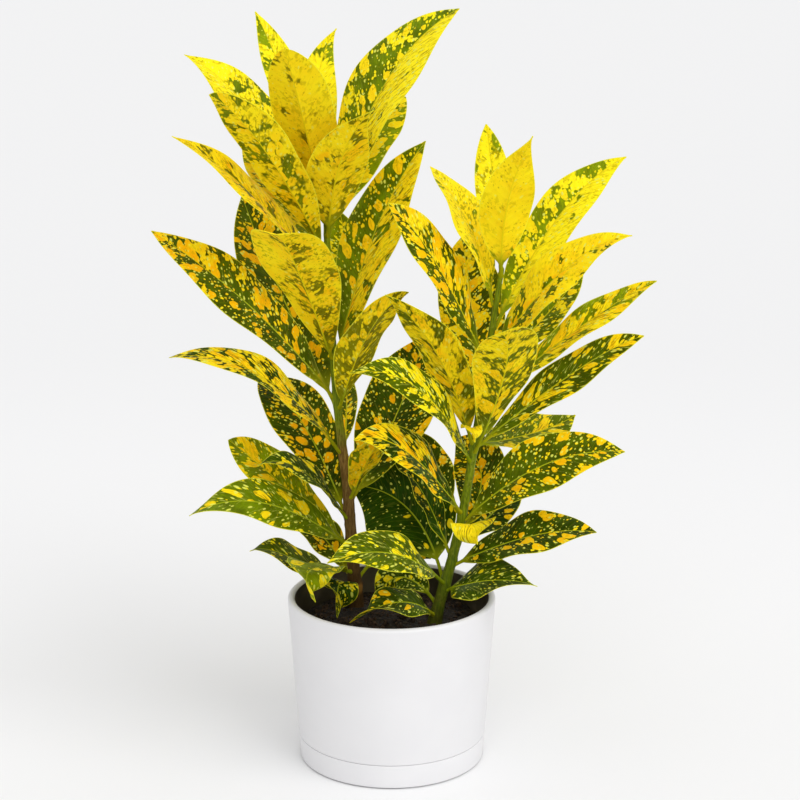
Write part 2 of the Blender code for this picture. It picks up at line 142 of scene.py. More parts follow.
# Each leaf's looks, in the same order: the share that is gold, how much more of it lies on the one
# half, at the tip and at the edge, how dense the dots are, how streaked it is, how much olive lies
# over its gold, how orange it is, and its green
LOOKS = (
    (0.66, 0.2, 0, 0, 0.3, 0.2, 0.9, 0.1, LIGHT),
    (0.75, -0.1, 0, 0, 0.1, 0.1, 0.5, 0.34, OLIVE),
    (0.67, 0, 0, 0, 0.2, 0.3, 0.3, 0.1, LIGHT),
    (0.62, 0.2, 0.06, 0.06, 0.4, 0.3, 0.5, 0.15, MID),
    (0.68, 0, 0, 0, 0.2, 0.2, 0.6, 0.36, OLIVE),
    (0.49, 0, 0, 0, 0.4, 0.1, 0.4, 0.2, LIGHT),
    (0.76, -0.16, 0.08, 0, 0.3, 0.2, 1, 0.2, MID),
    (0.63, 0, 0, 0.04, 0.3, 0.1, 0.9, 0.3, MID),
    (0.59, 0, 0, 0, 0.4, 0.1, 0.5, 0.35, LIGHT),
    (0.68, 0, 0.06, 0.04, 0.1, 0.4, 0.6, 0.52, OLIVE),
    (0.43, 0, 0, 0.05, 0.3, 0.1, 0.4, 0.5, FERN),
    (0.68, 0, 0.06, 0.06, 0.1, 0.1, 1, 0.5, OLIVE),
    (0.47, 0.12, 0.12, 0.05, 0.5, 0.1, 0.4, 0.55, FERN),
    (0.59, 0.06, 0.04, 0, 0.3, 0.5, 0.4, 0.42, DEEP),
    (0.55, 0.22, 0, 0, 0.3, 0.3, 0.5, 0.36, MID),
    (0.59, 0, 0, 0, 0.5, 0.1, 0.4, 0.2, LIGHT),
    (0.53, 0, 0, 0, 0.4, 0.3, 0.6, 0.3, OLIVE),
    (0.42, 0, 0, 0, 0.5, 0.1, 0.3, 0.6, DARK),
    (0.48, 0, 0.04, 0, 0.5, 0.3, 0.4, 0.3, LIGHT),
    (0.29, 0, 0, 0, 0.5, 0.4, 0.3, 0.1, DARK),
    (0.32, 0.06, 0, 0.04, 0.5, 0.4, 0.4, 0.2, MID),
    (0.45, 0, 0, 0, 0.4, 0.1, 0.3, 0.6, FERN),
    (0.38, 0, 0, 0, 0.4, 0.3, 0.3, 0.1, FERN),
    (0.36, 0, 0, 0, 0.4, 0.3, 0.4, 0.1, LIGHT),
    (0.56, 0, 0, 0, 0.3, 0.2, 0.4, 0.5, FERN),
    (0.4, 0, 0, 0, 0.5, 0.1, 0.3, 0.55, DARK),
    (0.63, 0, 0, 0, 0.3, 0.2, 0.5, 0.58, MID),
    (0.46, 0, 0, 0, 0.5, 0.1, 0.3, 0.1, DEEP),
    (0.73, 0, 0, 0, 0.3, 0.2, 0.9, 0.36, LIGHT),
    (0.66, 0, 0, 0, 0.3, 0.2, 1, 0.1, LIGHT),
    (0.86, 0, 0.08, 0, 0.1, 0.1, 0.4, 0.36, LIGHT),
    (0.68, 0.14, 0.04, 0, 0.3, 0.2, 0.5, 0.12, LIGHT),
    (0.69, 0, 0.08, 0.04, 0.2, 0.1, 0.5, 0.46, MID),
    (0.55, 0, 0, 0, 0.4, 0.2, 0.4, 0.25, MID),
    (0.55, 0.06, 0.06, 0, 0.3, 0.5, 0.5, 0.3, LIGHT),
    (0.49, 0.06, 0.04, 0, 0.4, 0.5, 0.4, 0.3, FERN),
    (0.57, 0, 0.1, 0.04, 0.2, 0.3, 0.6, 0.32, FERN),
    (0.54, 0.1, 0.06, 0, 0.3, 0.3, 0.4, 0.45, FERN),
    (0.56, 0, 0, 0, 0.5, 0.1, 0.4, 0.38, FERN),
    (0.67, 0, 0, 0, 0.3, 0.3, 0.8, 0.38, FERN),
    (0.5, 0.06, 0.04, 0, 0.5, 0.3, 0.4, 0.05, FERN),
    (0.84, 0, 0, 0, 0.1, 0.6, 0.4, 0.35, DEEP),
    (0.51, 0.1, 0.14, 0.05, 0.2, 0.8, 0.3, 0.5, DEEP),
    (0.31, 0, 0, 0, 0.5, 0.1, 0.3, 0.6, DARK),
    (0.15, 0, 0, 0, 0.3, 0.1, 0.2, 0.15, DEEP),
    (0.32, 0, 0, 0, 0.2, 0.2, 0.2, 0.4, DEEP),
    (0.45, 0, 0, 0, 0.5, 0.1, 0.3, 0.55, DARK),
    (0.48, 0, 0, 0, 0.4, 0.5, 0.4, 0.22, MID),
    (0.45, 0.04, 0.04, 0.04, 0.5, 0.1, 0.3, 0.45, FERN),
    (0.23, 0, 0, 0, 0.4, 0.1, 0.3, 0.45, DEEP),
    (0.38, 0.04, 0.06, 0, 0.5, 0.1, 0.3, 0.45, DARK),
    (0.28, 0, 0, 0, 0.5, 0.3, 0.3, 0.1, DARK),
    (0.84, 0, 0, 0, 0.2, 0.6, 0.4, 0.3, DARK),
    (0.38, 0, 0, 0, 0.5, 0.5, 0.4, 0.03, FERN),
    (0.24, 0, 0.4, 0, 0.5, 0.3, 0.3, 0.45, DARK),
)

# Small dark leaves low behind the stems, which only the scene holds, and their looks
LOW_LEAVES = (
    (SHORT, 114, (8, 27, 125), (-12, 31, 109), 28, 8, -25, 1.0, 2),
    (TALL, 124, (3, 50, 141), (29, 55, 130), 27, 7, 20, 1.0, 2),
)
LOW_LOOKS = (
    (0.36, 0, 0, 0, 0.9, 0.1, 0.3, 0.1, DARK),
    (0.4, 0, 0, 0, 0.9, 0.1, 0.3, 0.3, DEEP),
)

# How every blade is formed
PETIOLE_RADIUS = 1.25
PETIOLE_STEPS = 7
PETIOLE_SWELL = 1.5
PETIOLE_SINK = 1.4
BLADE_STEPS = 56
HALF_STEPS = 12
RIB_PLACES = (0.0, 0.45, 0.95, 1.6)
FOLD = math.radians(14)
CAMBER = 0.10
BLADE_THICKNESS = 0.55
EDGE_THICKNESS = 0.22
RIB_DEPTH = 1.1
RIB_HALF_WIDTH = 1.5
GROOVE_DEPTH = 0.30
BASE_NARROWING = 1.25
BASE_FULLNESS = 0.72
TIP_HALF_WIDTH = 0.5
FLARE = 0.15
WAVES = 2.1
SIDE_LAG = 1.3
WAVE_PHASE = 2.4
ROUTE_POINTS = 201
LEAF_GAP = 0.4
LEAF_SHARP = 50
UV_NAME = "OFBake"
UV_HALF = 0.225
UV_CENTRES = (0.25, 0.75)
UV_START = 0.02
UV_LENGTH = 0.96
UV_SEAM = 0.006
UV_ENDS = (0.008, 0.992)


def unit(vector):
    return vector / np.linalg.norm(vector)


def stem_at(stem, height):
    """The centre and the radius of a stem at a height, on a smooth curve through its points."""
    points = STEMS[stem]
    heights = [place[2] for place, _ in points]
    k = int(np.clip(np.searchsorted(heights, height) - 1, 0, len(points) - 2))
    (low, low_radius), (high, high_radius) = points[k], points[k + 1]
    before = np.array(points[max(k - 1, 0)][0], float)
    after = np.array(points[min(k + 2, len(points) - 1)][0], float)
    low, high = np.array(low, float), np.array(high, float)
    rise = high[2] - low[2]
    t = (height - low[2]) / rise
    slope_low = (high - before) / (high[2] - before[2]) * rise
    slope_high = (after - low) / (after[2] - low[2]) * rise
    centre = (
        (2 * t**3 - 3 * t**2 + 1) * low
        + (t**3 - 2 * t**2 + t) * slope_low
        + (3 * t**2 - 2 * t**3) * high
        + (t**3 - t**2) * slope_high
    )
    centre[2] = height
    return centre, low_radius + (high_radius - low_radius) * t


def leaf_stations(leaf):
    """Places along a leaf, from inside its stem to its tip.

    Each is the share of the blade (below 0 on the petiole), the length so far, the midrib's point,
    and the directions across the leaf and out of its upper face.
    """
    stem, height, middle, tip, _, petiole, roll, _, _ = leaf
    centre, radius = stem_at(stem, height)
    stem_way = unit(stem_at(stem, height + 1)[0] - stem_at(stem, height - 1)[0])
    middle, tip = np.array(middle, float), np.array(tip, float)
    out = middle - centre
    out[2] = 0
    out = unit(out)
    from_stem = unit(out - out.dot(stem_way) * stem_way)
    start = centre + from_stem * (radius + LEAF_GAP)
    bend = 2 * middle - (start + tip) / 2
    steps = np.linspace(0, 1, ROUTE_POINTS)
    s = steps[:, None]
    route = (1 - s) ** 2 * start + 2 * s * (1 - s) * bend + s**2 * tip
    lengths = np.concatenate([[0], np.cumsum(np.linalg.norm(np.diff(route, axis=0), axis=1))])
    blade = lengths[-1] - petiole
    facing = np.array([0, 0, 1.0]) - out
    places = [(share - 1, share * petiole) for share in np.linspace(0, 1, PETIOLE_STEPS)[:-1]]
    places += [(share, petiole + share * blade) for share in np.linspace(0, 1, BLADE_STEPS + 1)]
    stations = []
    for share, length in places:
        s = np.interp(length, lengths, steps)
        point = (1 - s) ** 2 * start + 2 * s * (1 - s) * bend + s**2 * tip
        along = unit((1 - s) * (bend - start) + s * (tip - bend))
        up = unit(facing - facing.dot(along) * along)
        across = np.cross(along, up)
        turn = math.radians(roll) * min(1.0, length / petiole)
        turned_up = up * math.cos(turn) + across * math.sin(turn)
        turned_across = across * math.cos(turn) - up * math.sin(turn)
        if share < 0:
            upright = max(0.0, -share) ** 3
            turned_up = unit(turned_up * (1 - upright) + stem_way * upright)
            turned_across = np.cross(along * (1 - upright) + from_stem * upright, turned_up)
            turned_across = unit(turned_across)
        stations.append((share, length, point, turned_across, turned_up))
    share, _, point, across, up = stations[0]
    stations.insert(0, (share, -PETIOLE_SINK, point - from_stem * PETIOLE_SINK, across, up))
    return stations


def half_width(share, width, narrowing):
    """Half of the blade's width at a share of its length: a long oval with a drawn-out tip."""
    widest = BASE_NARROWING / (BASE_NARROWING + narrowing)
    most = widest**BASE_NARROWING * (1 - widest) ** narrowing
    here = share**BASE_NARROWING * (1 - share) ** narrowing / most
    if share < widest:
        here = here**BASE_FULLNESS
    return max(width / 2 * here, TIP_HALF_WIDTH)


def places_across(half):
    """Shares of the half width, close together at the midrib."""
    places = np.linspace(0, 1, HALF_STEPS + 1)
    near = len(RIB_PLACES)
    places[:near] = np.minimum(places[:near], np.array(RIB_PLACES) / half)
    return np.concatenate([-places[:0:-1], places])


def leaf_ring(leaf, station, phase):
    """The section of a leaf: its upper and under points, and each point's distance across."""
    width, narrowing, wave = leaf[4], leaf[7], leaf[8]
    share, _, point, across, up = station
    blade_share = max(0.0, share)
    open_share = min(1.0, blade_share / FLARE)
    round_radius = PETIOLE_RADIUS * (1 + (PETIOLE_SWELL - 1) * max(0.0, -share) ** 6)
    half = round_radius * (1 - open_share)
    if share >= 0:
        half = max(half, half_width(share, width, narrowing))
    a = places_across(half)
    size = np.abs(a)
    lift = half * (math.sin(FOLD) * size - CAMBER * a * a) * open_share
    swing = 2 * math.pi * WAVES * blade_share + phase + np.where(a > 0, SIDE_LAG, 0)
    lift += wave * size**1.5 * np.sin(swing) * math.sin(math.pi * blade_share) * (open_share > 0)
    distance = size * half
    fade = (1 - blade_share) ** 0.7
    groove = GROOVE_DEPTH * fade * np.clip(1 - distance / RIB_HALF_WIDTH, 0, 1) ** 2 * open_share
    rib = RIB_DEPTH * fade * np.clip(1 - (distance / RIB_HALF_WIDTH) ** 2, 0, 1)
    blade = (BLADE_THICKNESS + (EDGE_THICKNESS - BLADE_THICKNESS) * size) / 2
    rounded = round_radius * np.sqrt(np.maximum(0.02, 1 - a * a))
    above = rounded * (1 - open_share) + blade * open_share - groove
    below = rounded * (1 - open_share) + (blade + rib) * open_share
    middle = point + across * (half * math.cos(FOLD * open_share) * a)[:, None]
    top = middle + up * (lift + above)[:, None]
    under = middle + up * (lift - below)[:, None]
    return top, under, a * half


def leaf_mesh(name, leaf, number):
    """The finer mesh of one leaf with its petiole, its bake map and the places its pattern uses."""
    stations = leaf_stations(leaf)
    width = leaf[4]
    total = stations[-1][1] + PETIOLE_SINK
    side = 2 * HALF_STEPS + 1
    points, marks, shares, uvs = [], [], [], []
    for station in stations:
        share, length = station[0], station[1]
        top, under, across = leaf_ring(leaf, station, WAVE_PHASE * number)
        half = max(across)
        blade_length = length - leaf[5]
        along = UV_START + UV_LENGTH * (length + PETIOLE_SINK) / total
        spread = UV_HALF * across / max(width / 2, PETIOLE_RADIUS)
        for face, row, centre in zip((1, 0), (top, under), UV_CENTRES):
            points.extend(row * MM)
            marks.extend((x, blade_length, face) for x in across)
            shares.extend((share, abs(x) / half, min(1, max(0, share) / FLARE)) for x in across)
            uvs.extend((centre + u, along) for u in spread)
    faces, face_uvs = [], []
    ring = 2 * side
    for i in range(len(stations) - 1):
        here, following = i * ring, (i + 1) * ring
        for k in range(side - 1):
            faces.append((here + k, here + k + 1, following + k + 1, following + k))
            face_uvs.extend(uvs[j] for j in faces[-1])
            low, high = here + side + k, following + side + k
            faces.append((low + 1, low, high, high + 1))
            face_uvs.extend(uvs[j] for j in faces[-1])
        for k, shift in ((0, -UV_SEAM), (side - 1, UV_SEAM)):
            a, b, c, d = here + k, following + k, following + side + k, here + side + k
            (ua, va), (ub, vb) = uvs[a], uvs[b]
            corners = {a: (ua, va), b: (ub, vb), c: (ub + shift, vb), d: (ua + shift, va)}
            face = (a, b, c, d) if k == 0 else (d, c, b, a)
            faces.append(face)
            face_uvs.extend(corners[j] for j in face)
    for start, end in zip((0, (len(stations) - 1) * ring), UV_ENDS):
        for k in range(side - 1):
            face = (start + k, start + side + k, start + side + k + 1, start + k + 1)
            face = face[::-1] if start else face
            faces.append(face)
            face_uvs.extend(
                uvs[j] if j < start + side else (uvs[j - side][0], end) for j in face
            )
    mesh = new_mesh(name, points, faces, face_uvs, LEAF_SHARP)
    for label, values in (("place", marks), ("shares", shares)):
        layer = mesh.attributes.new(label, "FLOAT_VECTOR", "POINT")
        layer.data.foreach_set("vector", np.array(values, np.float32).ravel())
    return mesh


def new_mesh(name, points, faces, uvs=None, sharp=None):
    """A smooth mesh, with the bake map and the angle of sharp edges that are given."""
    mesh = bpy.data.meshes.new(name)
    mesh.from_pydata(points, [], faces)
    if uvs:
        layer = mesh.uv_layers.new(name=UV_NAME)
        layer.data.foreach_set("uv", np.array(uvs, np.float32).ravel())
    mesh.shade_smooth()
    if sharp:
        mesh.set_sharp_from_angle(angle=math.radians(sharp))
    return mesh


def new_material(name):
    """A material with its node tree and its shader."""
    material = bpy.data.materials.new(name)
    material.use_nodes = True
    tree = material.node_tree
    return material, tree, tree.nodes["Principled BSDF"]


def put(tree, socket, value):
    """Gives a socket a plain value, or links another node's output to it."""
    if isinstance(value, bpy.types.NodeSocket):
        tree.links.new(value, socket)
    elif isinstance(value, tuple) and socket.type == "RGBA":
        socket.default_value = (*value, 1.0)
    else:
        socket.default_value = value


def node(tree, kind, inputs, **settings):
    """A new node, with its settings and its inputs filled in."""
    made = tree.nodes.new(kind)
    for name, value in settings.items():
        setattr(made, name, value)
    for key, value in inputs.items():
        put(tree, made.inputs[key], value)
    return made


def maths(tree, operation, *values, clamp=False):
    inputs = dict(enumerate(values))
    return node(tree, "ShaderNodeMath", inputs, operation=operation, use_clamp=clamp).outputs[0]


def times(tree, first, second):
    return maths(tree, "MULTIPLY", first, second)


def times_plus(tree, first, second, third, clamp=False):
    return maths(tree, "MULTIPLY_ADD", first, second, third, clamp=clamp)


def minus(tree, first, second):
    return maths(tree, "SUBTRACT", first, second)


def smooth(tree, value, low, high, first=0.0, last=1.0):
    """A value's place between low and high, eased and mapped to first and last."""
    inputs = {"Value": value, "From Min": low, "From Max": high, "To Min": first, "To Max": last}
    made = node(tree, "ShaderNodeMapRange", inputs, interpolation_type="SMOOTHSTEP")
    return made.outputs[0]


def mixed(tree, share, first, second):
    made = tree.nodes.new("ShaderNodeMix")
    made.data_type = "RGBA"
    put(tree, made.inputs[0], share)
    put(tree, made.inputs[6], first)
    put(tree, made.inputs[7], second)
    return made.outputs[2]


def vector(tree, x, y, z=0.0):
    return node(tree, "ShaderNodeCombineXYZ", {0: x, 1: y, 2: z}).outputs[0]


def parts(tree, value):
    return node(tree, "ShaderNodeSeparateXYZ", {0: value}).outputs


def noise(tree, place, scale, detail=2.0, roughness=0.5, output=0):
    inputs = {"Vector": place, "Scale": scale, "Detail": detail, "Roughness": roughness}
    return node(tree, "ShaderNodeTexNoise", inputs).outputs[output]


def object_place(tree):
    """A place on the piece, in metres."""
    return node(tree, "ShaderNodeTexCoord", {}).outputs["Object"]


def from_axis(tree, x, y):
    """The distance from the upright axis."""
    return maths(tree, "SQRT", times_plus(tree, x, x, times(tree, y, y)))


def relief(tree, shader, strength, depth, height):
    """Bump on a shader, with its depth in mm."""
    inputs = {"Strength": strength, "Distance": depth * MM, "Height": height}
    put(tree, shader.inputs["Normal"], node(tree, "ShaderNodeBump", inputs).outputs["Normal"])


def cells(tree, place, size, feature="F1"):
    """Distance to the nearest cell's middle, in cells, and that cell's random numbers."""
    inputs = {"Vector": place, "Scale": 1 / size}
    made = node(tree, "ShaderNodeTexVoronoi", inputs, voronoi_dimensions="2D", feature=feature)
    if feature == "SMOOTH_F1":
        made.inputs["Smoothness"].default_value = CELL_SMOOTHNESS
    return made.outputs["Distance"], made.outputs["Color"]


def attribute(tree, name):
    return node(tree, "ShaderNodeAttribute", {}, attribute_name=name).outputs["Vector"]


def dots(tree, place, size, density, small, large):
    """Round dots of many sizes in mm, one at most in each cell, for a share of the cells."""
    distance, chance = cells(tree, place, size)
    pick, scale, _ = parts(tree, chance)
    shown = maths(tree, "LESS_THAN", pick, density)
    squared = times(tree, scale, scale)
    radius = times_plus(tree, squared, (large - small) / size, small / size)
    inner = times(tree, radius, 0.5)
    round_dot = smooth(tree, distance, inner, times(tree, radius, 1.1), 1.0, 0.0)
    return times(tree, round_dot, shown)


def blobs(tree, place, size, gold, spread, start, largest):
    """How far, in mm, a place is inside the round blobs that grow together as gold rises."""
    distance, chance = cells(tree, place, size, "SMOOTH_F1")
    pick, _, _ = parts(tree, chance)
    level = times_plus(tree, pick, spread, minus(tree, gold, spread / 2))
    radius = smooth(tree, level, start, 1.0, -0.15, largest)
    return times(tree, minus(tree, radius, distance), size)


# How the leaves' pattern is drawn: sizes in mm, scales per mm, colours as linear light
SEED_STEP = 37.7
HALF_STEP = 61.3
WARP_SCALE = 0.22
PATCH_SCALE = 0.075
PATCH_DEPTH = 0.8
PATCH_MEAN = 0.49
TINT_SCALE = 0.09
SHADE_SCALE = 0.06
FIBRE_SCALE = 0.8
CROWD_SCALE = 0.12
STROKE_SCALE = 0.48
GATHER_SCALE = 0.10
GRAIN_SCALE = 1.3
SPECK_SHIFT = (170.0, 90.0, 0.0)
CELL_SMOOTHNESS = 0.35
LARGE_CELL = 6.6
MIDDLING_CELL = 2.1
DOT_CELL = 2.5
SPECK_CELL = 1.7
ZONE_START = 0.66
ZONE_SLOPE = 12.0
WARP = 1.3
VEIN_STEP = 6.2
LEMON = (0.95, 0.82, 0.012)
GOLDEN = (0.95, 0.46, 0.002)
PALE_DOT = (0.70, 0.73, 0.110)
EDGE_LINE = (0.78, 0.76, 0.040)
RIB_ON_GREEN = (0.40, 0.46, 0.015)
RIB_ON_GOLD = (0.70, 0.58, 0.005)
SPECK = (0.26, 0.19, 0.002)
STROKE = (0.40, 0.34, 0.002)
DARK_STREAK = (0.150, 0.100, 0.001)
FRINGE = (0.060, 0.048, 0.0008)
UNDERSIDE = (0.32, 0.28, 0.008)
STALK_GREEN = (0.20, 0.26, 0.004)
STALK_YELLOW = (0.46, 0.40, 0.006)
PATTERN_INPUTS = {
    "Seed": "Float", "Gold": "Float", "Half": "Float", "Tip": "Float", "Edge": "Float",
    "Dots": "Float", "Streaks": "Float", "Mottle": "Float", "Orange": "Float", "Green": "Color",
}
PATTERN_OUTPUTS = {"Colour": "Color", "Roughness": "Float", "Height": "Float"}


def leaf_pattern():
    """The croton's colouring: green with gold patches, streaks and dots, pale midrib and veins."""
    tree = bpy.data.node_groups.new("croton_colouring", "ShaderNodeTree")
    for way, sockets in (("INPUT", PATTERN_INPUTS), ("OUTPUT", PATTERN_OUTPUTS)):
        for name, kind in sockets.items():
            tree.interface.new_socket(name, in_out=way, socket_type=f"NodeSocket{kind}")
    given = tree.nodes.new("NodeGroupInput").outputs
    result = tree.nodes.new("NodeGroupOutput").inputs

    x, y, top = parts(tree, attribute(tree, "place"))
    share, across_share, opened = parts(tree, attribute(tree, "shares"))
    size = maths(tree, "ABSOLUTE", x)
    sign = maths(tree, "SIGN", x)
    seed = times(tree, given["Seed"], SEED_STEP)
    flat = vector(tree, x, y, seed)
    shift_x, shift_y, _ = parts(tree, noise(tree, flat, WARP_SCALE, output=1))

    # Directions along and across the streaks, which leave the midrib as the side veins do
    streaks = times_plus(tree, given["Half"], sign, given["Streaks"], clamp=True)
    slope = times_plus(tree, streaks, 2.6, 0.8)
    length = maths(tree, "SQRT", times_plus(tree, slope, slope, 1.0))
    outward = maths(tree, "DIVIDE", times_plus(tree, slope, y, size), length)
    inward = times(tree, size, -1.0)
    beside = maths(tree, "DIVIDE", times_plus(tree, slope, inward, y), length)
    stretched = maths(tree, "DIVIDE", outward, times_plus(tree, streaks, 2.4, 1.4))
    own = times_plus(tree, sign, HALF_STEP, seed)
    place = vector(
        tree,
        maths(tree, "ADD", times_plus(tree, shift_x, WARP, stretched), own),
        times_plus(tree, shift_y, WARP, beside),
    )

    # The gold patches
    half = times(tree, sign, 0.5)
    gold = times_plus(tree, given["Half"], half, given["Gold"])
    from_middle = times_plus(tree, share, 2.0, -1.0)
    gold = times_plus(tree, given["Tip"], from_middle, gold)
    from_inner = times_plus(tree, across_share, 2.0, -1.0)
    gold = times_plus(tree, given["Edge"], from_inner, gold)
    gold = maths(tree, "ADD", gold, smooth(tree, share, 0.0, 0.25, -0.20, 0.0))
    patches = noise(tree, vector(tree, x, y, own), PATCH_SCALE)
    lowered = minus(tree, gold, PATCH_DEPTH * PATCH_MEAN)
    gold = times_plus(tree, patches, PATCH_DEPTH, lowered)
    large = blobs(tree, place, LARGE_CELL, gold, 1.1, 0.34, 0.64)
    middling = blobs(tree, place, MIDDLING_CELL, gold, 0.75, 0.42, 0.76)
    zone = times(tree, minus(tree, gold, ZONE_START), ZONE_SLOPE)
    field = maths(tree, "SMOOTH_MAX", maths(tree, "MAXIMUM", large, zone), middling, 0.4)
    crisp = smooth(tree, field, -0.30, 0.20)
    soft = smooth(tree, field, -0.60, 0.45)
    patch = node(tree, "ShaderNodeMix", {0: top, 2: soft, 3: crisp}).outputs[0]
    spots = dots(tree, place, DOT_CELL, given["Dots"], 0.35, 1.15)
    spots = times(tree, spots, smooth(tree, top, 0.0, 1.0, 0.55, 0.92))

    # Fine lines and specks
    fibre_place = vector(tree, times(tree, outward, 0.12), beside, own)
    fibres = noise(tree, fibre_place, FIBRE_SCALE, 2.0, 0.6)
    bold = times_plus(tree, streaks, 2.0, -0.3, clamp=True)
    dark_lines = times(tree, smooth(tree, fibres, 0.54, 0.62), bold)
    pale_lines = times(tree, smooth(tree, fibres, 0.42, 0.34), streaks)
    crowded = smooth(tree, noise(tree, flat, CROWD_SCALE), 0.42, 0.66, 0.05, 0.60)
    apart = node(tree, "ShaderNodeVectorMath", {0: place, 1: SPECK_SHIFT}, operation="ADD")
    specks = dots(tree, apart.outputs[0], SPECK_CELL, crowded, 0.15, 0.75)
    brush = vector(tree, times(tree, outward, 0.60), beside, own)
    strokes = smooth(tree, noise(tree, brush, STROKE_SCALE, 2.0, 0.55), 0.48, 0.60)
    gathered = smooth(tree, noise(tree, flat, GATHER_SCALE), 0.40, 0.58, 0.0, 1.0)
    strokes = times(tree, times(tree, strokes, gathered), given["Mottle"])

    # Green ground
    shade = smooth(tree, noise(tree, flat, SHADE_SCALE), 0.3, 0.7, 0.72, 1.35)
    shade = times(tree, shade, smooth(tree, fibres, 0.3, 0.7, 0.88, 1.12))
    green = node(tree, "ShaderNodeVectorMath", {0: given["Green"], 3: shade}, operation="SCALE")
    ground = mixed(tree, smooth(tree, top, 0.0, 1.0, 0.16, 0.0), green.outputs[0], UNDERSIDE)
    fringe = times_plus(tree, given["Orange"], 0.9, 0.1)
    fringe = times(tree, smooth(tree, field, -1.2, -0.1), fringe)
    ground = mixed(tree, fringe, ground, FRINGE)

    # Yellow, from lemon to golden
    outside = smooth(tree, zone, -1.2, 0.6, 1.0, 0.0)
    alone = times(tree, smooth(tree, large, -0.3, 0.4), outside)
    warm = smooth(tree, noise(tree, flat, TINT_SCALE), 0.30, 0.70, 0.60, 1.15)
    warm = times_plus(tree, alone, 0.55, warm)
    warm = times(tree, warm, given["Orange"])
    warm = times_plus(tree, alone, 0.16, warm, clamp=True)
    yellow = mixed(tree, warm, LEMON, GOLDEN)
    yellow = mixed(tree, smooth(tree, top, 0.0, 1.0, 0.12, 0.0), yellow, UNDERSIDE)
    yellow = mixed(tree, strokes, yellow, STROKE)
    yellow = mixed(tree, times(tree, specks, 0.55), yellow, SPECK)
    yellow = mixed(tree, times(tree, dark_lines, 0.8), yellow, DARK_STREAK)
    ripe = times_plus(tree, given["Orange"], 0.9, -0.45, clamp=True)
    pale = mixed(tree, ripe, PALE_DOT, yellow)
    ground = mixed(tree, times(tree, pale_lines, 0.8), ground, pale)
    colour = mixed(tree, patch, ground, yellow)
    colour = mixed(tree, spots, colour, pale)

    # Side veins, midrib and edge
    vein = times_plus(tree, size, -0.75, y)
    phase = times_plus(tree, vein, 1 / VEIN_STEP, times(tree, sign, 0.25))
    wave = maths(tree, "PINGPONG", maths(tree, "ADD", phase, 100.0), 0.5)
    vein_line = smooth(tree, wave, 0.0, 0.055, 1.0, 0.0)
    fading = smooth(tree, across_share, 0.75, 0.98, 1.0, 0.0)
    vein_line = times(tree, vein_line, fading)
    vein_line = times(tree, vein_line, smooth(tree, top, 0.0, 1.0, 0.32, 0.15))
    rib_width = times_plus(tree, share, -0.50, 0.80)
    rib_line = smooth(tree, minus(tree, size, rib_width), -0.25, 0.15, 0.85, 0.0)
    rib_colour = mixed(tree, smooth(tree, gold, 0.35, 0.62), RIB_ON_GREEN, RIB_ON_GOLD)
    colour = mixed(tree, vein_line, colour, rib_colour)
    colour = mixed(tree, rib_line, colour, rib_colour)
    to_edge = maths(tree, "DIVIDE", size, maths(tree, "MAXIMUM", across_share, 0.05))
    edge = smooth(tree, minus(tree, to_edge, size), 0.20, 0.75, 0.70, 0.0)
    colour = mixed(tree, edge, colour, EDGE_LINE)
    stalk = mixed(tree, warm, STALK_GREEN, STALK_YELLOW)
    colour = mixed(tree, smooth(tree, opened, 0.0, 0.9), stalk, colour)
    put(tree, result["Colour"], colour)

    # Gloss and relief
    grain = noise(tree, flat, GRAIN_SCALE, 3.0, 0.6)
    rough = smooth(tree, grain, 0.3, 0.7, 0.36, 0.50)
    rough = maths(tree, "ADD", rough, smooth(tree, top, 0.0, 1.0, 0.16, 0.0))
    rough = times_plus(tree, patch, 0.06, rough)
    put(tree, result["Roughness"], rough)
    raised = smooth(tree, top, 0.0, 1.0, -0.6, 1.0)
    quilt = times(tree, smooth(tree, wave, 0.0, 0.5), raised)
    height = times_plus(tree, grain, 0.25, quilt)
    height = times(tree, height, smooth(tree, across_share, 0.80, 1.0, 1.0, 0.2))
    height = times(tree, height, opened)
    put(tree, result["Height"], height)
    return tree


def leaf_material(name, pattern, number, looks):
    """One leaf's own colouring, from its row of looks."""
    material, tree, shader = new_material(name)
    group = tree.nodes.new("ShaderNodeGroup")
    group.node_tree = pattern
    for label, value in zip(PATTERN_INPUTS, (number + 1.0, *looks)):
        put(tree, group.inputs[label], value)
    put(tree, shader.inputs["Base Color"], group.outputs["Colour"])
    put(tree, shader.inputs["Roughness"], group.outputs["Roughness"])
    shader.inputs["Specular IOR Level"].default_value = 0.035
    shader.inputs["Subsurface Weight"].default_value = 0.3
    shader.inputs["Subsurface Radius"].default_value = (1.0, 0.9, 0.1)
    shader.inputs["Subsurface Scale"].default_value = 1.2 * MM
    relief(tree, shader, 0.55, 0.35, group.outputs["Height"])
    return material


def add(name, mesh, material, slot, *nodes):
    """Puts a piece in the scene: it rides on the plant and stands for CAD nodes."""
    piece = bpy.data.objects.new(name, mesh)
    bpy.context.scene.collection.objects.link(piece)
    mesh.materials.append(material)
    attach(piece, "root")
    if nodes:
        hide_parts(*nodes)


def make_leaves():
    """Every leaf of the two stems in place of its CAD node, and the low ones without any."""
    pattern = leaf_pattern()
    count = {TALL: 0, SHORT: 0, "low": 0}
    for number, (leaf, looks) in enumerate(zip(LEAVES + LOW_LEAVES, LOOKS + LOW_LOOKS)):
        in_cad = number < len(LEAVES)
        group = leaf[0] if in_cad else "low"
        count[group] += 1
        name = f"{group}_leaf_{count[group]:02d}"
        material = leaf_material(f"croton_{name}", pattern, number, looks)
        mesh = leaf_mesh(f"blade_{name}", leaf, number)
        add(f"blade_{name}", mesh, material, "speckled_leaf", *([name] if in_cad else []))


